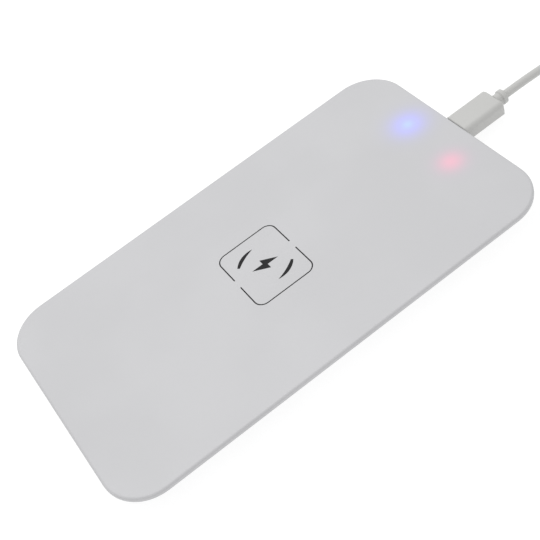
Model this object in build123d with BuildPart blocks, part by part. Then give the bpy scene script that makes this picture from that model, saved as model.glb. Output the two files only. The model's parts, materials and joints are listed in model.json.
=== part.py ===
"""Wireless charging pad with its USB lead plugged in.

Millimetres.  The origin is the middle of the plane that the rubber feet stand on,
+X points to the end with the USB port, and +Z is up through the charging surface.
"""
from build123d import *
import math
import os

os.makedirs("parts", exist_ok=True)

# ------------------------------------------------------------------ case
pad_length = 150.9
pad_width = 86.4
pad_height = 8.0
corner_radius = 13.9
rim_height = 1.45             # the top cover's edge, down to the parting line
rim_fillet = 0.8
seam_step = 0.15              # the bottom cover stands back this far at the parting line
foot_stand_off = 0.8          # how far the feet lift the case
belly_angle = 45.0            # slope of the sides below the rim
belly_fillet = 1.2
shell_wall = 1.4
floor_thickness = 1.2
label_length = 52.0           # shallow blank recess under the pad
label_width = 30.0
label_corner = 2.0
label_depth = 0.15
lip_inset = 3.2               # locating lip under the top cover
lip_width = 1.2
lip_depth = 1.0
lip_opening_margin = 1.0      # room each side of the port housing
gap = 0.1                     # small assembly gap

parting_z = pad_height - rim_height
base_z = foot_stand_off
floor_z = base_z + floor_thickness
belly_depth = parting_z - base_z
cavity_inset = shell_wall * math.sqrt(2)

# ------------------------------------------------------------------ feet and cover screws
foot_x = 57.0
foot_y = 25.5
foot_radius = 6.0
foot_recess = 0.4
foot_edge = 0.3
screw_radius = 1.0
screw_head_radius = 1.9
screw_head_height = 1.1
boss_split_z = 3.6            # where the lower and upper screw bosses meet
lower_boss_radius = 3.4
upper_boss_radius = 2.6
screw_seat_z = 2.5
screw_tip_z = 6.0
screw_clearance = 0.02        # threads are left out, so the shank just fits its hole
drive_width = 0.45

# ------------------------------------------------------------------ charging mark
mark_depth = 0.1
mark_half_x = 10.4
mark_half_y = 12.8
mark_corner = 3.0
mark_line = 0.4
mark_gap = 3.4                # break in the middle of each short side
arc_radius = 10.0
arc_centre = (-0.4, 2.0)
arc_thickness = 1.25
arc_blunt_width = 0.8         # width of the arc's blunt end
arc_start = -43.0
arc_end = -90.0
bolt_height = 9.0
bolt_width = 5.0
bolt_waist = 0.6

# ------------------------------------------------------------------ circuit board
board_start_x = 33.0
board_end_x = 68.6
board_width = 34.0
board_thickness = 0.8
board_z = 3.15
board_tab_x = 73.0            # narrow end that carries the socket
board_tab_width = 10.0
board_tab_overlap = 1.0
board_screw_x = 36.4
board_screw_y = 14.0
board_screw_head_radius = 1.7
board_screw_head_height = 0.8
board_screw_depth = 1.2
board_boss_radius = 2.4
board_top = board_z + board_thickness

# ------------------------------------------------------------------ port, socket and plug
port_z = board_top + 1.25     # axis of the socket, the plug and the cable
port_face_x = pad_length / 2
port_block_width = 15.0
port_block_z = 1.2
port_block_chamfer = 2.0
port_pocket_x = 73.4
port_pocket_width = 10.6
port_pocket_z = 2.4
port_pocket_overrun = 1.0
port_hole_width = 8.4
port_hole_height = 3.4        # open at the top, where the cover closes it
port_hole_rise = 0.35         # its middle above the socket's axis
port_hole_radius = 0.5

plug_shell_width = 6.85
plug_shell_height = 1.8
plug_shell_wall = 0.25
plug_shell_corner = 0.3
plug_shell_chamfer = 0.55
plug_fit = 0.05               # running clearance between plug and socket shells
plug_tip_x = 69.9

socket_back_x = 69.2
socket_mouth_x = 74.6
socket_width = 7.6
socket_height = 2.5
contact_pitch = 0.65
contact_width = 0.4
contact_count = 5
contact_thickness = 0.09
contact_tail_x = 67.4         # soldered end on the board
contact_leg_x = 68.2
contact_tip_gap = 0.4         # the tongue reaches this far past its contacts
tongue_low = port_z + 0.14
tongue_high = port_z + 0.62
tongue_half_width = 1.9
tongue_end_x = socket_mouth_x - 1.0
socket_tab_length = 2.0
socket_tab_width = 1.1
socket_tab_height = 0.6

insert_top = port_z - 0.12
insert_half_width = 2.3
insert_back_x = 75.4
plug_contact_inset = 0.2
latch_x = 71.4
latch_length = 1.4
latch_width = 0.6
latch_y = 2.35

overmould_start_x = 75.55     # just clear of the pad's face
overmould_length = 15.65
overmould_width = 10.1
overmould_y = 0.3             # the moulding sits slightly off the cable's axis
overmould_top_z = 7.8
overmould_bottom_z = 3.2
overmould_top_corner = 1.8
overmould_bottom_corner = 1.4
overmould_rear_chamfer = 0.65
overmould_front_chamfer = 0.25
shell_rooting = 1.4           # length of metal shell held inside the overmould
relief_length = 4.2
relief_neck_length = 1.7
relief_step = 0.4
relief_ring_length = 1.3
relief_neck = 2.1
relief_ring = 2.5

# ------------------------------------------------------------------ charging coil
wire_radius = 0.55
coil_pitch = 1.16
coil_turns = 10
coil_inner_radius = 10.6
coil_z = 5.75
ferrite_size = 52.0
ferrite_thickness = 1.5
ferrite_corner = 2.0
tape_thickness = 0.1
tape_margin = 1.0             # tape reaches this far inside the innermost turn
plinth_top_z = 3.5
plinth_inset = 2.0
plinth_rib = 2.0
channel_y = -5.0              # groove that takes the inner wire out under the turns
channel_width = 1.5
channel_depth = 1.2
channel_start_x = 7.0
channel_pocket_end_x = 11.5
channel_pocket_top_y = -0.7
lead_clearance = 0.05
lead_landing_inset = 1.2      # from the board's edge
lead_landing_y = 11.5

# ------------------------------------------------------------------ lights
led_blue_place = (65.4, 11.9)
led_red_place = (63.7, -11.3)
led_length = 3.5
led_width = 2.8
led_height = 1.9
led_lens_radius = 1.1
led_lens_depth = 0.5
led_lens_taper = 20.0
light_well_radius = 3.0
light_well_depth = 0.6

# ------------------------------------------------------------------ lead
cable_radius = 1.4
bend_share = 0.45             # of the shorter run that a bend's arc may take up
wound_centre_x = 146.0
wound_centre_y = -27.0
wound_outer = 22.4            # centre line of the outermost turn
wound_turns = 4.1             # turns in each of the two layers
wound_pitch = 2.83
wound_layers = 2
wound_entry_angle = 72.0
wound_edge = 1.2
tie_width = 6.0
tie_thickness = 0.6
tie_edge = 0.45
tie_angle = 200.0

# ------------------------------------------------------------------ USB-A plug on the far end
far_plug_y = -51.0
far_plug_z = 3.75
far_relief_length = 8.0
far_body_length = 20.0
far_body_width = 15.5
far_body_height = 7.5
far_body_corner = 2.0
far_body_edge = 1.0
far_shell_length = 12.0
far_shell_width = 12.0
far_shell_height = 4.5
far_shell_wall = 0.3
far_shell_corner = 0.45
far_relief_neck = 2.9
far_tongue_height = 1.9
far_contact_pitch = 2.3
far_contact_count = 4
far_contact_size = (1.2, 8.5)
far_window_size = 2.2
far_window_x = 2.6

# ------------------------------------------------------------------ components on the board
# name: length along x, width along y, height, centres
board_chips = {
    "charge_controller": (5.0, 5.0, 0.9, [(52.0, 0.0)]),
    "power_transistors": (3.3, 3.3, 0.95, [(x, y) for x in (41.8, 45.8) for y in (-3.0, 3.0)]),
    "resonant_capacitors": (3.2, 4.5, 2.0, [(36.4, y) for y in (-8.0, -2.7, 2.7, 8.0)]),
    "input_capacitors": (1.6, 3.2, 1.6, [(64.8, y) for y in (-5.6, 5.6)]),
    "filter_inductor": (4.4, 4.4, 2.0, [(58.6, -6.0)]),
    "voltage_regulator": (1.7, 2.9, 1.1, [(58.6, 5.6)]),
    "chip_resistors": (1.6, 0.8, 0.5, [(x, y) for x in (50.2, 53.8) for y in (-10, -7, 7, 10)]),
}
chip_edge = 0.12

plinth_size = ferrite_size - 2 * plinth_inset
foot_positions = [(sx * foot_x, sy * foot_y) for sx in (-1, 1) for sy in (-1, 1)]
led_positions = [led_blue_place, led_red_place]
board_screw_positions = [(board_screw_x, -board_screw_y), (board_screw_x, board_screw_y)]


def save(block, name):
    """Label a finished piece and write it as one STEP file."""
    block.part.label = name
    export_step(block.part, "parts/" + name + ".step")


def rounded_outline(inset):
    """Case outline, moved inwards by inset."""
    return RectangleRounded(
        pad_length - 2 * inset,
        pad_width - 2 * inset,
        corner_radius - inset,
    )


# ================================================================== bottom cover
with BuildPart() as bottom_cover:
    with BuildSketch(Plane.XY.offset(parting_z)):
        rounded_outline(seam_step)
    extrude(amount=-belly_depth, taper=belly_angle)
    base_edges = bottom_cover.faces().sort_by(Axis.Z)[0].edges()
    fillet(base_edges, belly_fillet)
    # housing around the port, with its lower outer edge cut back
    port_block_start = board_end_x + gap
    with BuildSketch(Plane.XZ.offset(-port_block_width / 2)):
        with BuildLine():
            Polyline(
                (port_block_start, parting_z),
                (port_face_x, parting_z),
                (port_face_x, port_block_z + port_block_chamfer),
                (port_face_x - port_block_chamfer, port_block_z),
                (port_block_start, port_block_z),
                close=True,
            )
        make_face()
    extrude(amount=port_block_width)
    # hollow inside
    with BuildSketch(Plane.XY.offset(parting_z)):
        rounded_outline(cavity_inset)
    extrude(amount=-(parting_z - floor_z), taper=belly_angle, mode=Mode.SUBTRACT)
    # the housing's side walls stand back up inside the hollow
    with BuildSketch(Plane.XY.offset(port_pocket_z)):
        with Locations(((port_block_start + port_face_x) / 2, 0)):
            Rectangle(port_face_x - port_block_start, port_block_width)
    extrude(amount=parting_z - port_pocket_z)
    with BuildSketch(Plane.XY.offset(port_pocket_z)):
        pocket_start = port_block_start - port_pocket_overrun
        with Locations(((pocket_start + port_pocket_x) / 2, 0)):
            Rectangle(port_pocket_x - pocket_start, port_pocket_width)
    extrude(amount=parting_z - port_pocket_z, mode=Mode.SUBTRACT)
    with BuildSketch(Plane.YZ.offset(port_pocket_x - gap)):
        with Locations((0, port_z + port_hole_rise)):
            RectangleRounded(port_hole_width, port_hole_height, port_hole_radius)
    extrude(amount=port_face_x - port_pocket_x + 2 * gap, mode=Mode.SUBTRACT)
    # screw bosses, foot recesses, counterbores and screw holes
    with BuildSketch(Plane.XY.offset(floor_z)):
        with Locations(*foot_positions):
            Circle(lower_boss_radius)
    extrude(amount=boss_split_z - floor_z)
    with BuildSketch(Plane.XY.offset(base_z)):
        with Locations(*foot_positions):
            Circle(foot_radius + gap)
    extrude(amount=foot_recess, mode=Mode.SUBTRACT)
    with BuildSketch(Plane.XY.offset(base_z)):
        with Locations(*foot_positions):
            Circle(screw_head_radius + gap)
    extrude(amount=screw_seat_z - base_z, mode=Mode.SUBTRACT)
    with BuildSketch(Plane.XY.offset(base_z)):
        with Locations(*foot_positions):
            Circle(screw_radius + gap)
    extrude(amount=boss_split_z - base_z, mode=Mode.SUBTRACT)
    # blank label recess underneath
    with BuildSketch(Plane.XY.offset(base_z)):
        RectangleRounded(label_length, label_width, label_corner)
    extrude(amount=label_depth, mode=Mode.SUBTRACT)
    # coil plinth: a square frame with a cross of ribs
    with BuildSketch(Plane.XY.offset(floor_z)):
        Rectangle(plinth_size, plinth_size)
        Rectangle(plinth_size - 2 * plinth_rib, plinth_size - 2 * plinth_rib, mode=Mode.SUBTRACT)
        Rectangle(plinth_size - plinth_rib, plinth_rib)
        Rectangle(plinth_rib, plinth_size - plinth_rib)
    extrude(amount=plinth_top_z - floor_z)
    # board bosses with blind screw holes
    with BuildSketch(Plane.XY.offset(floor_z)):
        with Locations(*board_screw_positions):
            Circle(board_boss_radius)
    extrude(amount=board_z - floor_z)
    with BuildSketch(Plane.XY.offset(board_z)):
        with Locations(*board_screw_positions):
            Circle(screw_radius + screw_clearance)
    extrude(amount=-board_screw_depth, mode=Mode.SUBTRACT)
save(bottom_cover, "bottom_cover")


# ================================================================== charging mark
def arc_point(radius, angle):
    """Point on one of the mark's arcs, about the arc's own centre."""
    return (arc_centre[0] + radius * math.cos(angle), arc_centre[1] + radius * math.sin(angle))


def mark_profile(depth_plane):
    """Placement outline, two tapered arcs and a bolt, as one sketch."""
    with BuildSketch(depth_plane) as profile:
        outer_x = 2 * mark_half_x + mark_line
        outer_y = 2 * mark_half_y + mark_line
        RectangleRounded(outer_x, outer_y, mark_corner + mark_line / 2)
        RectangleRounded(
            outer_x - 2 * mark_line,
            outer_y - 2 * mark_line,
            mark_corner - mark_line / 2,
            mode=Mode.SUBTRACT,
        )
        Rectangle(2 * outer_x, mark_gap, mode=Mode.SUBTRACT)
        for turn in (0, 180):
            with BuildLine(Plane.XY.rotated((0, 0, turn))):
                first = math.radians(arc_start)
                last = math.radians(arc_end)
                middle = (first + last) / 2
                start_in = arc_point(arc_radius - arc_blunt_width / 2, first)
                start_out = arc_point(arc_radius + arc_blunt_width / 2, first)
                mid_in = arc_point(arc_radius - arc_thickness / 2, middle)
                mid_out = arc_point(arc_radius + arc_thickness / 2, middle)
                end_tip = arc_point(arc_radius, last)
                ThreePointArc(start_out, mid_out, end_tip)
                ThreePointArc(end_tip, mid_in, start_in)
                Line(start_in, start_out)
            make_face()
        with BuildLine():
            half_h = bolt_height / 2
            half_w = bolt_width / 2
            Polyline(
                (half_h, -bolt_waist),
                (-bolt_waist, half_w),
                (-bolt_waist, bolt_waist),
                (-half_h, bolt_waist),
                (bolt_waist, -half_w),
                (bolt_waist, -bolt_waist),
                close=True,
            )
        make_face()
    return profile.sketch


with BuildPart() as printed_mark:
    add(mark_profile(Plane.XY.offset(pad_height - mark_depth)))
    extrude(amount=mark_depth)
save(printed_mark, "printed_mark")

# ================================================================== top cover
with BuildPart() as top_cover:
    with BuildSketch(Plane.XY.offset(parting_z)):
        rounded_outline(0)
    extrude(amount=rim_height)
    top_edges = top_cover.faces().sort_by(Axis.Z)[-1].edges()
    fillet(top_edges, rim_fillet)
    # locating lip, open where the port housing stands
    with BuildSketch(Plane.XY.offset(parting_z)):
        rounded_outline(lip_inset)
        with BuildSketch(mode=Mode.SUBTRACT):
            rounded_outline(lip_inset + lip_width)
        with Locations((pad_length / 2, 0)):
            opening_width = port_block_width + 2 * lip_opening_margin
            Rectangle(4 * lip_inset, opening_width, mode=Mode.SUBTRACT)
    extrude(amount=-lip_depth)
    # screw bosses
    with BuildSketch(Plane.XY.offset(boss_split_z)):
        with Locations(*foot_positions):
            Circle(upper_boss_radius)
    extrude(amount=parting_z - boss_split_z)
    with BuildSketch(Plane.XY.offset(boss_split_z)):
        with Locations(*foot_positions):
            Circle(screw_radius + screw_clearance)
    extrude(amount=screw_tip_z + gap - boss_split_z, mode=Mode.SUBTRACT)
    # thin windows that let the lights shine through
    with BuildSketch(Plane.XY.offset(parting_z)):
        with Locations(*led_positions):
            Circle(light_well_radius)
    extrude(amount=light_well_depth, mode=Mode.SUBTRACT)
    add(printed_mark.part, mode=Mode.SUBTRACT)
save(top_cover, "top_cover")

# ================================================================== feet and cover screws
for index, position in enumerate(foot_positions, start=1):
    with BuildPart() as foot:
        with BuildSketch():
            with Locations(position):
                Circle(foot_radius)
        extrude(amount=foot_stand_off + foot_recess)
        fillet(foot.faces().sort_by(Axis.Z)[0].edges(), foot_edge)
    save(foot, f"foot_{index}")

with BuildPart() as cover_screws:
    with BuildSketch(Plane.XY.offset(screw_seat_z - screw_head_height)):
        with Locations(*foot_positions):
            Circle(screw_head_radius)
    extrude(amount=screw_head_height)
    with BuildSketch(Plane.XY.offset(screw_seat_z)):
        with Locations(*foot_positions):
            Circle(screw_radius)
    extrude(amount=screw_tip_z - screw_seat_z)
    with BuildSketch(Plane.XY.offset(screw_seat_z - screw_head_height)):
        with Locations(*foot_positions):
            Rectangle(2 * screw_radius, drive_width)
            Rectangle(drive_width, 2 * screw_radius)
    extrude(amount=screw_head_height / 2, mode=Mode.SUBTRACT)
save(cover_screws, "cover_screws")

# ================================================================== circuit board
with BuildPart() as circuit_board:
    with BuildSketch(Plane.XY.offset(board_z)):
        with Locations(((board_start_x + board_end_x) / 2, 0)):
            Rectangle(board_end_x - board_start_x, board_width)
        with Locations(((board_end_x - board_tab_overlap + board_tab_x) / 2, 0)):
            Rectangle(board_tab_x - board_end_x + board_tab_overlap, board_tab_width)
        with Locations(*board_screw_positions):
            Circle(screw_radius + gap, mode=Mode.SUBTRACT)
    extrude(amount=board_thickness)
save(circuit_board, "circuit_board")

with BuildPart() as board_screws:
    with BuildSketch(Plane.XY.offset(board_top)):
        with Locations(*board_screw_positions):
            Circle(board_screw_head_radius)
    extrude(amount=board_screw_head_height)
    with BuildSketch(Plane.XY.offset(board_top)):
        with Locations(*board_screw_positions):
            Circle(screw_radius)
    extrude(amount=-(board_thickness + board_screw_depth - gap))
    with BuildSketch(Plane.XY.offset(board_top + board_screw_head_height)):
        with Locations(*board_screw_positions):
            Rectangle(2 * screw_radius, drive_width)
            Rectangle(drive_width, 2 * screw_radius)
    extrude(amount=-board_screw_head_height / 2, mode=Mode.SUBTRACT)
save(board_screws, "board_screws")

# ------------------------------------------------------------------ components on the board
for chip_name, (length, width, height, centres) in board_chips.items():
    with BuildPart() as chip:
        with BuildSketch(Plane.XY.offset(board_top)):
            with Locations(*centres):
                Rectangle(length, width)
        extrude(amount=height)
        chamfer(chip.faces().group_by(Axis.Z)[-1].edges(), chip_edge)
    save(chip, chip_name)

for led_name, centre in zip(("led_blue", "led_red"), led_positions):
    with BuildPart() as led:
        with BuildSketch(Plane.XY.offset(board_top)):
            with Locations(centre):
                Rectangle(led_width, led_length)
        extrude(amount=led_height - led_lens_depth)
        with BuildSketch(Plane.XY.offset(board_top + led_height - led_lens_depth)):
            with Locations(centre):
                Circle(led_lens_radius)
        extrude(amount=led_lens_depth, taper=led_lens_taper)
    save(led, led_name)


# ================================================================== USB socket on the board
def plug_outline(grow):
    """Micro-USB shell section on a YZ plane, grown outwards all round."""
    half_width = plug_shell_width / 2 + grow
    half_height = plug_shell_height / 2 + grow
    with BuildSketch(mode=Mode.PRIVATE) as outline:
        with Locations((0, port_z)):
            Rectangle(2 * half_width, 2 * half_height)
        low, high = outline.vertices().group_by(Axis.Y)
        chamfer(low, plug_shell_chamfer)
        fillet(high, plug_shell_corner)
    return outline.sketch


contact_offsets = [(i - (contact_count - 1) / 2) * contact_pitch for i in range(contact_count)]
socket_block_x = plug_tip_x - gap
contact_end_x = tongue_end_x - contact_tip_gap

with BuildPart() as usb_socket_shell:
    with BuildSketch(Plane.YZ.offset(socket_back_x)):
        with Locations((0, port_z)):
            RectangleRounded(socket_width, socket_height, plug_shell_corner)
        add(plug_outline(plug_fit), mode=Mode.SUBTRACT)
    extrude(amount=socket_mouth_x - socket_back_x)
    # soldering tabs on the board
    with BuildSketch(Plane.XY.offset(board_top)):
        for side in (-1, 1):
            tab_y = side * (socket_width - gap + socket_tab_width) / 2
            with Locations((socket_back_x + socket_tab_length, tab_y)):
                Rectangle(socket_tab_length, socket_tab_width)
    extrude(amount=socket_tab_height)
save(usb_socket_shell, "usb_socket_shell")

with BuildPart() as usb_socket_contacts:
    with BuildSketch(Plane.XZ):
        with BuildLine():
            Polyline(
                (contact_tail_x, board_top),
                (contact_tail_x, board_top + contact_thickness),
                (contact_leg_x, board_top + contact_thickness),
                (contact_leg_x, tongue_low),
                (contact_end_x, tongue_low),
                (contact_end_x, tongue_low - contact_thickness),
                (contact_leg_x + contact_thickness, tongue_low - contact_thickness),
                (contact_leg_x + contact_thickness, board_top),
                close=True,
            )
        make_face()
    one_contact = extrude(amount=contact_width / 2, both=True, mode=Mode.PRIVATE)
    with Locations(*[(0, offset, 0) for offset in contact_offsets]):
        add(one_contact)
save(usb_socket_contacts, "usb_socket_contacts")

with BuildPart() as usb_socket_tongue:
    with BuildSketch(Plane.YZ.offset(contact_leg_x + 2 * contact_thickness)):
        add(plug_outline(plug_fit))
    extrude(amount=socket_block_x - contact_leg_x - 2 * contact_thickness)
    with BuildSketch(Plane.XY.offset(tongue_low)):
        with Locations(((socket_block_x + tongue_end_x) / 2, 0)):
            Rectangle(tongue_end_x - socket_block_x, 2 * tongue_half_width)
    extrude(amount=tongue_high - tongue_low)
    add(usb_socket_contacts.part, mode=Mode.SUBTRACT)
save(usb_socket_tongue, "usb_socket_tongue")

# ================================================================== charging coil
coil_bottom = coil_z - wire_radius
ferrite_top = coil_bottom - tape_thickness
ferrite_bottom = ferrite_top - ferrite_thickness
coil_outer_radius = coil_inner_radius + coil_turns * coil_pitch
channel_z = ferrite_top - channel_depth
inner_lead_z = channel_z + wire_radius + lead_clearance

with BuildPart() as transmitter_coil:
    with BuildLine() as winding:
        radius = coil_inner_radius
        for half_turn in range(2 * coil_turns):
            odd = half_turn % 2
            CenterArc((odd * coil_pitch / 2, 0, coil_z), radius, 180 * odd, 180)
            radius += coil_pitch / 2
    with BuildSketch(Plane(origin=winding.wire() @ 0, z_dir=winding.wire() % 0)):
        Circle(wire_radius)
    sweep(path=winding.wire())
save(transmitter_coil, "transmitter_coil")

with BuildPart() as channel_cutter:
    with BuildSketch(Plane.XY.offset(channel_z)):
        with Locations(((channel_start_x + ferrite_size) / 2, channel_y)):
            Rectangle(ferrite_size - channel_start_x, channel_width)
        pocket_middle_x = (channel_start_x + channel_pocket_end_x) / 2
        pocket_middle_y = (channel_y + channel_pocket_top_y) / 2
        with Locations((pocket_middle_x, pocket_middle_y)):
            Rectangle(channel_pocket_end_x - channel_start_x, channel_pocket_top_y - channel_y)
    extrude(amount=coil_bottom - channel_z)

with BuildPart() as ferrite_shield:
    with BuildSketch(Plane.XY.offset(ferrite_bottom)):
        RectangleRounded(ferrite_size, ferrite_size, ferrite_corner)
    extrude(amount=ferrite_thickness)
    add(channel_cutter.part, mode=Mode.SUBTRACT)
save(ferrite_shield, "ferrite_shield")

with BuildPart() as coil_tape:
    with BuildSketch(Plane.XY.offset(ferrite_top)):
        Circle(coil_outer_radius + wire_radius)
        Circle(coil_inner_radius - tape_margin, mode=Mode.SUBTRACT)
    extrude(amount=tape_thickness)
    add(channel_cutter.part, mode=Mode.SUBTRACT)
save(coil_tape, "coil_tape")

with BuildPart() as ferrite_pad:
    with BuildSketch(Plane.XY.offset(plinth_top_z)):
        Rectangle(plinth_size, plinth_size)
    extrude(amount=ferrite_bottom - plinth_top_z)
save(ferrite_pad, "ferrite_pad")

lead_landing_x = board_start_x + lead_landing_inset
lead_landing_z = board_top + wire_radius
outer_end = (coil_outer_radius, 0, coil_z)
inner_end = (coil_inner_radius, 0, coil_z)
lead_routes = [
    (
        [
            outer_end,
            (coil_outer_radius, 4.0, coil_z),
            (ferrite_size / 2 + 3.0, 9.5, coil_z - gap),
            (lead_landing_x, lead_landing_y, lead_landing_z),
        ],
        [4.0, 3.0],
    ),
    (
        [
            inner_end,
            (coil_inner_radius, -0.9, coil_z),
            (8.8, channel_y, inner_lead_z),
            (ferrite_size / 2 + 2.0, channel_y, inner_lead_z),
            (lead_landing_x, -lead_landing_y, lead_landing_z),
        ],
        [1.5, 1.4, 3.0],
    ),
]
lead_wires = []
for points, radii in lead_routes:
    with BuildPart() as lead_wire:
        with BuildLine() as lead_path:
            FilletPolyline(*points, radius=radii)
        with BuildSketch(Plane(origin=lead_path.wire() @ 0, z_dir=lead_path.wire() % 0)):
            Circle(wire_radius)
        sweep(path=lead_path.wire())
    lead_wires.append(lead_wire.part)

with BuildPart() as coil_leads:
    for wire_solid in lead_wires:
        add(wire_solid)
save(coil_leads, "coil_leads")

# ================================================================== plug in the pad's port
overmould_end_x = overmould_start_x + overmould_length
shell_root_x = overmould_start_x + shell_rooting

with BuildPart() as plug_latches:
    latch_z = port_z - plug_shell_height / 2
    with BuildSketch(Plane.XY.offset(latch_z)):
        with Locations((latch_x, -latch_y), (latch_x, latch_y)):
            Rectangle(latch_length, latch_width)
    extrude(amount=plug_shell_wall)
save(plug_latches, "plug_latches")

with BuildPart() as plug_shell:
    with BuildSketch(Plane.YZ.offset(plug_tip_x)):
        add(plug_outline(0))
        add(plug_outline(-plug_shell_wall), mode=Mode.SUBTRACT)
    extrude(amount=shell_root_x - plug_tip_x)
    add(plug_latches.part, mode=Mode.SUBTRACT)
save(plug_shell, "plug_shell")

with BuildPart() as plug_contacts:
    with BuildSketch(Plane.XY.offset(insert_top)):
        with Locations(*[((plug_tip_x + insert_back_x) / 2, offset) for offset in contact_offsets]):
            Rectangle(insert_back_x - plug_tip_x - 2 * plug_contact_inset, contact_width)
    extrude(amount=gap)
save(plug_contacts, "plug_contacts")

with BuildPart() as plug_insert:
    insert_bottom = port_z - plug_shell_height / 2 + plug_shell_wall
    with BuildSketch(Plane.XY.offset(insert_bottom)):
        with Locations(((plug_tip_x + insert_back_x) / 2, 0)):
            Rectangle(insert_back_x - plug_tip_x, 2 * insert_half_width)
    extrude(amount=insert_top - insert_bottom)
    with BuildSketch(Plane.YZ.offset(insert_back_x)):
        add(plug_outline(-plug_shell_wall))
    extrude(amount=shell_root_x - insert_back_x)
save(plug_insert, "plug_insert")

with BuildPart() as plug_overmould:
    with BuildSketch(Plane.YZ.offset(overmould_start_x)) as overmould_section:
        with Locations((overmould_y, (overmould_top_z + overmould_bottom_z) / 2)):
            Rectangle(overmould_width, overmould_top_z - overmould_bottom_z)
        lower_corners, upper_corners = overmould_section.vertices().group_by(Axis.Y)
        fillet(upper_corners, overmould_top_corner)
        fillet(lower_corners, overmould_bottom_corner)
    extrude(amount=overmould_length)
    rear_edges = plug_overmould.faces().sort_by(Axis.X)[-1].edges()
    chamfer(rear_edges, overmould_rear_chamfer)
    front_edges = plug_overmould.faces().sort_by(Axis.X)[0].edges()
    chamfer(front_edges, overmould_front_chamfer)
    with BuildSketch(Plane.YZ.offset(overmould_start_x)):
        add(plug_outline(0))
    extrude(amount=shell_rooting, mode=Mode.SUBTRACT)
save(plug_overmould, "plug_overmould")

with BuildPart() as plug_strain_relief:
    with BuildSketch(Plane.XZ):
        with BuildLine():
            start_x = overmould_end_x
            ring_x = start_x + relief_neck_length + relief_step
            end_x = start_x + relief_length
            Polyline(
                (start_x, port_z),
                (start_x, port_z + relief_neck),
                (start_x + relief_neck_length, port_z + relief_neck),
                (ring_x, port_z + relief_ring),
                (ring_x + relief_ring_length, port_z + relief_ring),
                (end_x, port_z + cable_radius + gap),
                (end_x, port_z),
                close=True,
            )
        make_face()
    revolve(axis=Axis((0, 0, port_z), (1, 0, 0)))
save(plug_strain_relief, "plug_strain_relief")

# ================================================================== cable
cable_start_x = overmould_end_x + relief_length
coil_floor_z = cable_radius
entry = math.radians(wound_entry_angle)
entry_x = wound_centre_x + wound_outer * math.cos(entry)
entry_y = wound_centre_y + wound_outer * math.sin(entry)
leave_x = wound_centre_x + wound_outer
leave_z = coil_floor_z + 2 * cable_radius

near_route = [
    (cable_start_x, 0, port_z),
    (111.6, 0, port_z),
    (128.2, -0.7, 2.7),
    (143.6, -2.7, coil_floor_z),
    (entry_x, entry_y, coil_floor_z),
]
tail_route = [
    (leave_x, wound_centre_y, leave_z),
    (leave_x, -34.5, leave_z - 0.3),
    (leave_x, -43.5, far_plug_z),
    (leave_x, far_plug_y, far_plug_z),
]


def bend_radii(points):
    """Tangent arc at each corner: bend_share of the shorter run / tan(half the turn)."""
    corners = []
    vectors = [Vector(*point) for point in points]
    for before, here, after in zip(vectors, vectors[1:], vectors[2:]):
        incoming = here - before
        outgoing = after - here
        turn = math.radians(incoming.get_angle(outgoing))
        shorter = min(incoming.length, outgoing.length)
        corners.append(bend_share * shorter / math.tan(turn / 2))
    return corners


def cable_tube(points, name):
    """Round cable along straight runs joined by tangent arcs."""
    radii = bend_radii(points)
    with BuildPart() as tube:
        with BuildLine() as route:
            FilletPolyline(*points, radius=radii)
        with BuildSketch(Plane(origin=route.wire() @ 0, z_dir=route.wire() % 0)):
            Circle(cable_radius)
        sweep(path=route.wire())
    length = route.wire().length
    ratio = tube.part.volume / (math.pi * cable_radius**2 * length)
    print(name, "length", round(length, 1), "volume ratio", round(ratio, 4))
    print(name, "bend radii", [round(value) for value in radii])
    save(tube, name)
    return length


near_length = cable_tube(near_route, "usb_cable")
tail_length = cable_tube(tail_route, "usb_cable_tail")
wound_middle = wound_outer - wound_turns * wound_pitch / 2
wound_length = 2 * math.pi * wound_middle * wound_turns * wound_layers
print("whole cord", round(near_length + tail_length + wound_length, 1))

wound_inner = wound_outer - wound_turns * wound_pitch
wound_height = 2 * cable_radius * wound_layers

# tie round the bundle, let into its underside so that the bundle still lies flat
with BuildPart() as cable_tie:
    tie_turn = math.radians(tie_angle)
    tie_outwards = (math.cos(tie_turn), math.sin(tie_turn), 0)
    tie_origin = (
        wound_centre_x + wound_middle * tie_outwards[0],
        wound_centre_y + wound_middle * tie_outwards[1],
        0,
    )
    bundle_width = wound_outer - wound_inner + 2 * cable_radius
    tie_plane = Plane(origin=tie_origin, x_dir=tie_outwards, z_dir=(0, 0, 1))
    with BuildSketch(tie_plane):
        Rectangle(bundle_width + 2 * tie_thickness, tie_width)
    extrude(amount=wound_height + tie_thickness)
    upper_edges = cable_tie.faces().sort_by(Axis.Z)[-1].edges()
    fillet(upper_edges, tie_edge)
    with BuildSketch(tie_plane.offset(tie_thickness)):
        Rectangle(bundle_width, tie_width)
    extrude(amount=wound_height - tie_thickness, mode=Mode.SUBTRACT)
save(cable_tie, "cable_tie")

with BuildPart() as cable_coil:
    with BuildSketch():
        with Locations((wound_centre_x, wound_centre_y)):
            Circle(wound_outer + cable_radius)
            Circle(wound_inner - cable_radius, mode=Mode.SUBTRACT)
    extrude(amount=wound_height)
    fillet(cable_coil.edges().filter_by(GeomType.CIRCLE), wound_edge)
    add(cable_tie.part, mode=Mode.SUBTRACT)
save(cable_coil, "cable_coil")

# ================================================================== USB-A plug on the far end
far_body_y = far_plug_y - far_relief_length
far_face_y = far_body_y - far_body_length
far_mouth_y = far_face_y - far_shell_length
far_root_y = far_face_y + shell_rooting
far_tongue_low = far_plug_z - far_shell_height / 2 + far_shell_wall

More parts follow.
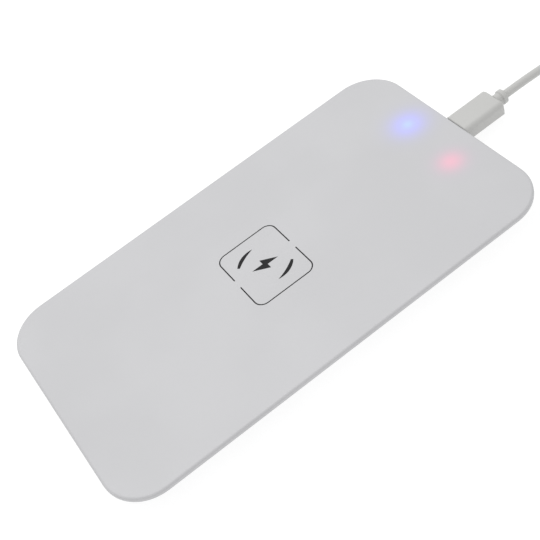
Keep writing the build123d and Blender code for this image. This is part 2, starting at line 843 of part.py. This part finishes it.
with BuildPart() as usb_a_strain_relief:
    with BuildSketch(Plane.YZ.offset(leave_x)):
        with BuildLine():
            Polyline(
                (far_plug_y, far_plug_z),
                (far_plug_y, far_plug_z + cable_radius + gap),
                (far_body_y, far_plug_z + far_relief_neck),
                (far_body_y, far_plug_z),
                close=True,
            )
        make_face()
    revolve(axis=Axis((leave_x, far_plug_y, far_plug_z), (0, 1, 0)))
save(usb_a_strain_relief, "usb_a_strain_relief")


def far_section(width, height, corner):
    """Rounded section across the far plug, on a plane that faces -Y."""
    with BuildSketch(mode=Mode.PRIVATE) as section:
        with Locations((leave_x, far_plug_z)):
            RectangleRounded(width, height, corner)
    return section.sketch


far_inner_width = far_shell_width - 2 * far_shell_wall
far_inner_height = far_shell_height - 2 * far_shell_wall

with BuildPart() as usb_a_overmould:
    with BuildSketch(Plane.XZ.offset(-far_body_y)):
        add(far_section(far_body_width, far_body_height, far_body_corner))
    extrude(amount=far_body_length)
    end_edges = usb_a_overmould.faces().sort_by(Axis.Y)[-1].edges()
    fillet(end_edges, far_body_edge)
    with BuildSketch(Plane.XZ.offset(-far_root_y)):
        add(far_section(far_shell_width, far_shell_height, far_shell_corner))
    extrude(amount=shell_rooting, mode=Mode.SUBTRACT)
save(usb_a_overmould, "usb_a_overmould")

with BuildPart() as usb_a_shell:
    with BuildSketch(Plane.XZ.offset(-far_root_y)):
        add(far_section(far_shell_width, far_shell_height, far_shell_corner))
        inner_corner = far_shell_corner - far_shell_wall
        add(far_section(far_inner_width, far_inner_height, inner_corner), mode=Mode.SUBTRACT)
    extrude(amount=far_shell_length + shell_rooting)
    # the two square holes on each broad side
    with BuildSketch(Plane.XY):
        window_y = (far_face_y + far_mouth_y) / 2
        with Locations((leave_x - far_window_x, window_y), (leave_x + far_window_x, window_y)):
            Rectangle(far_window_size, far_window_size)
    extrude(amount=far_body_height, mode=Mode.SUBTRACT)
save(usb_a_shell, "usb_a_shell")

with BuildPart() as usb_a_tongue:
    with BuildSketch(Plane.XY.offset(far_tongue_low)):
        with Locations((leave_x, (far_root_y + far_mouth_y + gap) / 2)):
            Rectangle(far_inner_width - 2 * gap, far_root_y - far_mouth_y - gap)
    extrude(amount=far_tongue_height)
save(usb_a_tongue, "usb_a_tongue")

with BuildPart() as usb_a_contacts:
    far_contact_y = far_face_y - far_shell_length / 2
    contact_places = [
        (leave_x + (i - (far_contact_count - 1) / 2) * far_contact_pitch, far_contact_y)
        for i in range(far_contact_count)
    ]
    with BuildSketch(Plane.XY.offset(far_tongue_low + far_tongue_height)):
        with Locations(*contact_places):
            Rectangle(*far_contact_size)
    extrude(amount=gap)
save(usb_a_contacts, "usb_a_contacts")
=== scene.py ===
"""Looks of the wireless charging pad and its USB lead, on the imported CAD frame."""
import json
import math

import bpy
from mathutils import Matrix, Vector


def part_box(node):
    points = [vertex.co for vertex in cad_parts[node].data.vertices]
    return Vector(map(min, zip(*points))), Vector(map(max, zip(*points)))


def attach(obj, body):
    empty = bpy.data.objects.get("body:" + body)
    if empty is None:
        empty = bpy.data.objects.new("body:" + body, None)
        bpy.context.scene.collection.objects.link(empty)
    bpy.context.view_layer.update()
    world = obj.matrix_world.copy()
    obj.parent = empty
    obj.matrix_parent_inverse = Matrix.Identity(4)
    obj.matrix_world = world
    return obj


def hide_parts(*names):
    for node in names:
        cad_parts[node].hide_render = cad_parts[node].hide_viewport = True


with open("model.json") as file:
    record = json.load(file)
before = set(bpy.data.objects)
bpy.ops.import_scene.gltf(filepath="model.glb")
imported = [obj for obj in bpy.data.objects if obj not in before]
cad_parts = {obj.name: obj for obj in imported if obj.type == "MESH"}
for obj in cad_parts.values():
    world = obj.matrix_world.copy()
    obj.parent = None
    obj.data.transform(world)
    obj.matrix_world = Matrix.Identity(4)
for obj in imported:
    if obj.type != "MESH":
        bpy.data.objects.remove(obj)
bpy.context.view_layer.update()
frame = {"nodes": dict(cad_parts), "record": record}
MM = 0.001

# ------------------------------------------------------------------ camera, as the photograph sees the pad
# angles and roll in radians, distance and aim offset in metres, lens in millimetres
CAMERA_AZIMUTH = math.radians(14.67)
CAMERA_ELEVATION = math.radians(47.6)
CAMERA_ROLL = math.radians(25.53)
CAMERA_DISTANCE = 0.3134
CAMERA_LENS = 69.9
CAMERA_CLIP_START = 0.01
CAMERA_AIM_OFFSET = Vector((-0.000336, -0.003356, 0.000296))

# ------------------------------------------------------------------ cable route, as in the CAD, in millimetres
CABLE_DIAMETER = 2.8
PORT_Z = 5.2
CABLE_START_X = 95.4
FLOOR_Z = CABLE_DIAMETER / 2
WOUND_CENTRE = (146.0, -27.0)
WOUND_OUTER = 22.4             # centre line of the outermost turn
WOUND_PITCH = 2.83
WOUND_TURNS = 4.1              # in each of the two layers
WOUND_ENTRY_ANGLE = 72.0
POINTS_PER_TURN = 24
CLIMB_TURNS = 0.4              # the inner end climbs to the upper layer over this much of a turn
TIE_ANGLE = 200.0
TIE_LIFT = 0.5                 # the turns rise this far over the tie, within TIE_SPREAD degrees
TIE_SPREAD = 14.0
FAR_PLUG_Z = 3.75
FAR_PLUG_Y = -51.0
LEAVE_X = WOUND_CENTRE[0] + WOUND_OUTER
LEAVE_Z = FLOOR_Z + CABLE_DIAMETER
CURVE_STEPS = 6                # subdivisions of the curve between points, and round its section

NEAR_ROUTE = [
    (CABLE_START_X, 0, PORT_Z),
    (111.6, 0, PORT_Z),
    (128.2, -0.7, 2.7),
    (143.6, -2.7, FLOOR_Z),
]
TAIL_ROUTE = [
    (LEAVE_X, -34.5, LEAVE_Z - 0.3),
    (LEAVE_X, -43.5, FAR_PLUG_Z),
    (LEAVE_X, FAR_PLUG_Y, FAR_PLUG_Z),
]


def make_camera():
    """Camera at the photograph's angle, rolled about its own axis."""
    azimuth, elevation = CAMERA_AZIMUTH, CAMERA_ELEVATION
    forward = Vector((
        math.sin(azimuth) * math.cos(elevation),
        math.cos(azimuth) * math.cos(elevation),
        -math.sin(elevation),
    ))
    level_right = Vector((math.cos(azimuth), -math.sin(azimuth), 0))
    level_up = level_right.cross(forward)
    right = math.cos(CAMERA_ROLL) * level_right - math.sin(CAMERA_ROLL) * level_up
    up = right.cross(forward)
    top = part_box("top_cover")[1][2]
    aim = Vector((0, 0, top)) + CAMERA_AIM_OFFSET
    data = bpy.data.cameras.new("camera")
    data.lens = CAMERA_LENS
    data.clip_start = CAMERA_CLIP_START
    camera = bpy.data.objects.new("camera", data)
    bpy.context.collection.objects.link(camera)
    pose = Matrix((right, up, -forward)).transposed().to_4x4()
    pose.translation = aim - forward * CAMERA_DISTANCE
    camera.matrix_world = pose
    bpy.context.scene.camera = camera


def wound_points():
    """Control points of the wound turns: inwards on the floor, then outwards on top."""
    points = []
    total = 2 * WOUND_TURNS
    count = round(total * POINTS_PER_TURN)
    inner = WOUND_OUTER - WOUND_TURNS * WOUND_PITCH
    swell = 1 / math.cos(math.pi / POINTS_PER_TURN)
    for step in range(count + 1):
        turns = total * step / count
        angle = WOUND_ENTRY_ANGLE - 360 * turns
        radius = (inner + WOUND_PITCH * abs(turns - WOUND_TURNS)) * swell
        climb = min(max((turns - WOUND_TURNS) / CLIMB_TURNS + 0.5, 0), 1)
        climb_share = climb * climb * (3 - 2 * climb)
        from_tie = (angle - TIE_ANGLE + 180) % 360 - 180
        lift = TIE_LIFT * math.exp(-((from_tie / TIE_SPREAD) ** 2))
        turn = math.radians(angle)
        points.append((
            WOUND_CENTRE[0] + radius * math.cos(turn),
            WOUND_CENTRE[1] + radius * math.sin(turn),
            FLOOR_Z + CABLE_DIAMETER * climb_share + lift,
        ))
    return points


def make_cable():
    """The whole cord as one smooth curve, from the strain relief to the far plug."""
    points = NEAR_ROUTE + wound_points() + TAIL_ROUTE
    curve = bpy.data.curves.new("cable", "CURVE")
    curve.dimensions = "3D"
    spline = curve.splines.new("NURBS")
    spline.points.add(len(points) - 1)
    for control, point in zip(spline.points, points):
        control.co = (*(MM * value for value in point), 1)
        control.radius = MM * CABLE_DIAMETER / 2
    spline.order_u = 3
    spline.use_endpoint_u = True
    spline.resolution_u = CURVE_STEPS
    curve.bevel_depth = 1.0       # times each point's radius, which keeps the curve's box tight
    curve.bevel_resolution = CURVE_STEPS
    curve.use_fill_caps = True
    cable = bpy.data.objects.new("cable", curve)
    bpy.context.collection.objects.link(cable)
    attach(cable, "usb_lead")
    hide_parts("usb_cable", "cable_coil", "usb_cable_tail")
    return cable


make_camera()
cable = make_cable()


# ------------------------------------------------------------------ materials
def srgb(*values):
    """Linear colour from 0-255 display values."""
    linear = []
    for value in values:
        v = value / 255
        linear.append(v / 12.92 if v <= 0.04045 else ((v + 0.055) / 1.055) ** 2.4)
    return (*linear, 1)


# display values, 0-255
COVER_COLOR = (192, 192, 194)
BASE_COLOR = (190, 190, 192)
PLUG_COLOR = (189, 189, 187)

BLACK = (0, 0, 0, 1)
WHITE = (1, 1, 1, 1)

# moulded plastic
CLOUD_SIZE = 0.03             # metres across its faint cloudiness
CLOUD_SHADE = 0.965           # brightness of the darker parts
PLASTIC_ROUGHNESS_RANGE = (-0.05, 0.07)
PLASTIC_BUMP = 0.35

# metal
SCRATCH_SIZE = 0.0004
SCRATCH_STRETCH = (0.12, 1, 1)
STAIN_SIZE = 0.004
STAIN_SHADE = 0.85
METAL_ROUGHNESS_RANGE = (-0.07, 0.1)
METAL_BUMP = 0.15
SCRATCH_DEPTH = 0.000005

FOAM_CELL = 0.0004
FOAM_CELL_SHADE = 0.6


class Surface:
    """A Principled material with helpers for its procedural nodes."""

    def __init__(self, name, color, roughness, metallic=0.0, specular=0.5, coat=0.0):
        self.material = bpy.data.materials.new(name)
        self.material.use_nodes = True
        self.nodes = self.material.node_tree.nodes
        self.links = self.material.node_tree.links
        self.shader = self.nodes["Principled BSDF"]
        self.shader.inputs["Base Color"].default_value = color
        self.shader.inputs["Roughness"].default_value = roughness
        self.shader.inputs["Metallic"].default_value = metallic
        self.shader.inputs["Specular IOR Level"].default_value = specular
        self.shader.inputs["Coat Weight"].default_value = coat
        self.coordinates = self.nodes.new("ShaderNodeTexCoord").outputs["Object"]
        self.base = None

    def feed(self, socket, value):
        """Link value to socket if it is a socket, or set it as the socket's constant."""
        if isinstance(value, bpy.types.NodeSocket):
            self.links.new(value, socket)
        else:
            socket.default_value = value

    def noise(self, size, detail, roughness=0.5):
        """Noise whose features are about size metres across."""
        node = self.nodes.new("ShaderNodeTexNoise")
        node.inputs["Scale"].default_value = 1 / size
        node.inputs["Detail"].default_value = detail
        node.inputs["Roughness"].default_value = roughness
        self.links.new(self.coordinates, node.inputs["Vector"])
        return node.outputs["Fac"]

    def span(self, value, low, high, start=0.3, end=0.7):
        """value's range start..end mapped smoothly onto low..high."""
        node = self.nodes.new("ShaderNodeMapRange")
        node.interpolation_type = "SMOOTHSTEP"
        node.inputs["From Min"].default_value = start
        node.inputs["From Max"].default_value = end
        node.inputs["To Min"].default_value = low
        node.inputs["To Max"].default_value = high
        self.links.new(value, node.inputs["Value"])
        return node.outputs["Result"]

    def math(self, operation, *values):
        node = self.nodes.new("ShaderNodeMath")
        node.operation = operation
        for socket, value in zip(node.inputs, values):
            self.feed(socket, value)
        return node.outputs[0]

    def mix(self, factor, first, second, blend_type="MIX"):
        """Blend of two colours, each a constant or a socket."""
        node = self.nodes.new("ShaderNodeMix")
        node.data_type = "RGBA"
        node.blend_type = blend_type
        self.feed(node.inputs["Factor"], factor)
        # the node's sockets 6 and 7 are its two colours, and output 2 is their blend
        self.feed(node.inputs[6], first)
        self.feed(node.inputs[7], second)
        return node.outputs[2]

    def add(self, first, second):
        """Sum of two colours."""
        return self.mix(1.0, first, second, "ADD")

    def falloff(self, away, spread):
        """Bell curve of the distance away: one at zero, 0.37 at spread."""
        scaled = self.math("DIVIDE", away, spread)
        squared = self.math("MULTIPLY", scaled, scaled)
        return self.math("EXPONENT", self.math("MULTIPLY", squared, -1.0))

    def tint(self, factor, first, second):
        """Base colour between two colours; it stays in self.base for further work."""
        self.base = self.mix(factor, first, second)
        self.links.new(self.base, self.shader.inputs["Base Color"])

    def rough(self, value):
        self.links.new(value, self.shader.inputs["Roughness"])

    def bump(self, height, strength, distance):
        node = self.nodes.new("ShaderNodeBump")
        node.inputs["Strength"].default_value = strength
        node.inputs["Distance"].default_value = distance
        self.links.new(height, node.inputs["Height"])
        self.links.new(node.outputs["Normal"], self.shader.inputs["Normal"])

    def distance_from(self, point):
        """Distance in metres from a point of the frame."""
        node = self.nodes.new("ShaderNodeVectorMath")
        node.operation = "DISTANCE"
        self.links.new(self.coordinates, node.inputs[0])
        node.inputs[1].default_value = point
        return node.outputs["Value"]


def shaded(color, share):
    """The colour at a share of its brightness."""
    return (*(share * channel for channel in color[:3]), 1)


def moulded(name, color, roughness=0.42, grain=0.00035, depth=0.00002, specular=0.45):
    """Injection-moulded plastic: fine spark-eroded grain and faint cloudiness."""
    surface = Surface(name, color, roughness, specular=specular)
    cloud = surface.span(surface.noise(CLOUD_SIZE, detail=2.0), 0.0, 1.0)
    surface.tint(cloud, color, shaded(color, CLOUD_SHADE))
    fine = surface.noise(grain, detail=2.0, roughness=0.6)
    low, high = PLASTIC_ROUGHNESS_RANGE
    surface.rough(surface.span(fine, roughness + low, roughness + high))
    surface.bump(fine, PLASTIC_BUMP, depth)
    return surface


def metal(name, color, roughness):
    """Plated or drawn metal with fine scratches along one direction."""
    surface = Surface(name, color, roughness, metallic=1.0)
    stretch = surface.nodes.new("ShaderNodeMapping")
    stretch.inputs["Scale"].default_value = SCRATCH_STRETCH
    surface.links.new(surface.coordinates, stretch.inputs["Vector"])
    surface.coordinates = stretch.outputs["Vector"]
    lines = surface.noise(SCRATCH_SIZE, detail=3.0, roughness=0.7)
    low, high = METAL_ROUGHNESS_RANGE
    surface.rough(surface.span(lines, roughness + low, roughness + high))
    stain = surface.span(surface.noise(STAIN_SIZE, detail=2.0), 0.0, 1.0)
    surface.tint(stain, color, shaded(color, STAIN_SHADE))
    surface.bump(lines, METAL_BUMP, SCRATCH_DEPTH)
    return surface


# each light's painted glows on the cover as (colour, spread in metres) pairs, then the painted
# glow tint that shifts the plastic's own colour round it, and over what spread
PAINTED_LED_GLOWS = {
    "led_blue": (
        [((0.0, 0.0, 0.52), 0.00545), ((0.0, 0.12, 0.0), 0.0019)],
        (0.95, 0.955, 1.0),
        0.0075,
    ),
    "led_red": (
        [((0.29, 0.0, 0.0), 0.00397), ((0.0, 0.0, 0.02), 0.006)],
        (1.0, 0.895, 1.0),
        0.0050,
    ),
}


def cover_surface():
    """White cover whose thin spots over the lights carry painted light: a glow painted as emission and a glow
    tint painted into its colour.
    """
    color = srgb(*COVER_COLOR)
    surface = moulded("cover_plastic", color, 0.45)
    base = surface.base
    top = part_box("top_cover")[1][2]
    # sum of the painted glows laid on the cover
    emission = BLACK
    for light, (painted_glows, painted_tint, painted_tint_spread) in PAINTED_LED_GLOWS.items():
        low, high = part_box(light)
        centre = ((low[0] + high[0]) / 2, (low[1] + high[1]) / 2, top)
        away = surface.distance_from(centre)
        # painted glow tint: the cover's colour shifts towards the light's colour round each light
        painted_tint_color = (*(channel * share for channel, share in zip(color, painted_tint)), 1)
        base = surface.mix(surface.falloff(away, painted_tint_spread), base, painted_tint_color)
        # painted glow: emission laid on the cover round each light, standing in for light shining through it
        for painted_glow_color, spread in painted_glows:
            painted_glow = surface.mix(surface.falloff(away, spread), BLACK, (*painted_glow_color, 1))
            emission = surface.add(emission, painted_glow)
    surface.links.new(base, surface.shader.inputs["Base Color"])
    surface.links.new(emission, surface.shader.inputs["Emission Color"])
    surface.shader.inputs["Emission Strength"].default_value = 1.0
    return surface


def glowing(name, color, strength):
    """Clear lens lit from inside."""
    surface = moulded(name, color, 0.2, grain=0.001)
    surface.shader.inputs["Emission Color"].default_value = color
    surface.shader.inputs["Emission Strength"].default_value = strength
    return surface


def wound_copper():
    """Enamelled strands: fine twisted lines round the wire."""
    surface = Surface("copper_wire", (0.72, 0.30, 0.13, 1), 0.32, metallic=0.85)
    strands = surface.noise(0.0002, detail=2.0, roughness=0.7)
    bright, dark = (0.75, 0.33, 0.15, 1), (0.42, 0.15, 0.06, 1)
    surface.tint(surface.span(strands, 0, 1), bright, dark)
    surface.bump(strands, 0.5, 0.00004)
    return surface


def board_laminate():
    """Green solder mask over copper tracks."""
    surface = Surface("board_laminate", (0.01, 0.13, 0.045, 1), 0.3, coat=0.3)
    tracks = surface.span(surface.noise(0.0016, detail=1.0), 0, 1, 0.48, 0.52)
    mask, raised = (0.008, 0.11, 0.04, 1), (0.02, 0.2, 0.07, 1)
    surface.tint(tracks, mask, raised)
    surface.bump(tracks, 0.4, 0.00003)
    return surface


def open_foam(name, color):
    """Matt foam with small dark cells."""
    surface = Surface(name, color, 0.9, specular=0.2)
    cells = surface.nodes.new("ShaderNodeTexVoronoi")
    cells.inputs["Scale"].default_value = 1 / FOAM_CELL
    surface.links.new(surface.coordinates, cells.inputs["Vector"])
    surface.tint(surface.span(cells.outputs["Distance"], 0, 1), color, shaded(color, FOAM_CELL_SHADE))
    surface.bump(cells.outputs["Distance"], 0.5, 0.00008)
    return surface


# the maker of each material slot's surface
MATERIALS = {
    "cover_plastic": cover_surface,
    "base_plastic": lambda: moulded(
        "base_plastic", srgb(*BASE_COLOR), 0.5, grain=0.0005, depth=0.00004
    ),
    "mark_ink": lambda: moulded("mark_ink", srgb(20, 20, 22), 0.55, specular=0.2),
    "foot_rubber": lambda: moulded("foot_rubber", srgb(150, 150, 152), 0.75, depth=0.00004),
    "screw_steel": lambda: metal("screw_steel", (0.55, 0.55, 0.56, 1), 0.3),
    "board_laminate": board_laminate,
    "chip_black": lambda: moulded("chip_black", srgb(36, 36, 38), 0.55, grain=0.00015),
    "capacitor_ceramic": lambda: moulded("capacitor_ceramic", srgb(178, 145, 104), 0.4),
    "inductor_core": lambda: moulded("inductor_core", srgb(70, 70, 74), 0.6),
    "led_blue_lens": lambda: glowing("led_blue_lens", (0.25, 0.45, 1.0, 1), 4.0),
    "led_red_lens": lambda: glowing("led_red_lens", (1.0, 0.16, 0.2, 1), 4.0),
    "shell_steel": lambda: metal("shell_steel", (0.56, 0.56, 0.57, 1), 0.26),
    "socket_plastic": lambda: moulded("socket_plastic", srgb(34, 34, 36), 0.5),
    "contact_gold": lambda: metal("contact_gold", (0.83, 0.56, 0.19, 1), 0.18),
    "ferrite": lambda: moulded("ferrite", srgb(62, 62, 66), 0.65, grain=0.0002),
    "adhesive_tape": lambda: moulded("adhesive_tape", srgb(205, 190, 150), 0.6),
    "foam": lambda: open_foam("foam", srgb(64, 64, 66)),
    "copper_wire": wound_copper,
    "plug_plastic": lambda: moulded("plug_plastic", srgb(*PLUG_COLOR), 0.45),
    "relief_plastic": lambda: moulded("relief_plastic", srgb(*PLUG_COLOR), 0.45),
    "cable_jacket": lambda: moulded("cable_jacket", srgb(*PLUG_COLOR), 0.4, grain=0.0006),
    "tie_plastic": lambda: moulded("tie_plastic", srgb(190, 190, 190), 0.55),
    "tongue_plastic": lambda: moulded("tongue_plastic", srgb(215, 215, 214), 0.4),
}


def paint():
    """One material per slot of the record, on every CAD node and new piece."""
    made = {name: maker().material for name, maker in MATERIALS.items()}
    for entry in frame["record"]["subparts"]:
        node = frame["nodes"][entry["node"]]
        node.data.materials.clear()
        node.data.materials.append(made[entry["material_slot"]])
    cable.data.materials.append(made["cable_jacket"])


paint()


# ------------------------------------------------------------------ floor and light
FLOOR_GLOW = 0.80            # the floor is a lit white sheet, so shadows on it stay faint
FLOOR_REACH = 12.0            # metres from its middle to each side
FLOOR_DROP = -0.0001          # just under the feet, so that no two faces coincide
FLOOR_COLOR = (0.3, 0.3, 0.3, 1)
SKY_STRENGTH = 0.8
KEY_PLACE = (0.1, 0.9, 1.6)
KEY_SIZE = 1.2
KEY_POWER = 14.0


def make_floor():
    """A plain sheet of white, far wider than the pad."""
    mesh = bpy.data.meshes.new("floor")
    corners = [
        (x * FLOOR_REACH, y * FLOOR_REACH, FLOOR_DROP)
        for x, y in ((-1, -1), (1, -1), (1, 1), (-1, 1))
    ]
    mesh.from_pydata(corners, [], [(0, 1, 2, 3)])
    floor = bpy.data.objects.new("floor", mesh)
    bpy.context.collection.objects.link(floor)
    surface = moulded("floor_white", FLOOR_COLOR, 0.9, grain=0.004, specular=0.1)
    surface.shader.inputs["Emission Color"].default_value = WHITE
    surface.shader.inputs["Emission Strength"].default_value = FLOOR_GLOW
    mesh.materials.append(surface.material)


def area_light(name, place, size, power):
    """Square light that faces the pad's middle."""
    data = bpy.data.lights.new(name, "AREA")
    data.size = size
    data.energy = power
    light = bpy.data.objects.new(name, data)
    bpy.context.collection.objects.link(light)
    light.location = place
    light.rotation_euler = (-Vector(place)).to_track_quat("-Z", "Y").to_euler()


def light_scene():
    """An even white sky and one large soft light."""
    world = bpy.data.worlds.new("studio")
    world.use_nodes = True
    background = world.node_tree.nodes["Background"]
    background.inputs["Color"].default_value = WHITE
    background.inputs["Strength"].default_value = SKY_STRENGTH
    bpy.context.scene.world = world
    bpy.context.scene.view_settings.view_transform = "Standard"
    area_light("key", KEY_PLACE, KEY_SIZE, KEY_POWER)


make_floor()
light_scene()

bpy.context.view_layer.update()
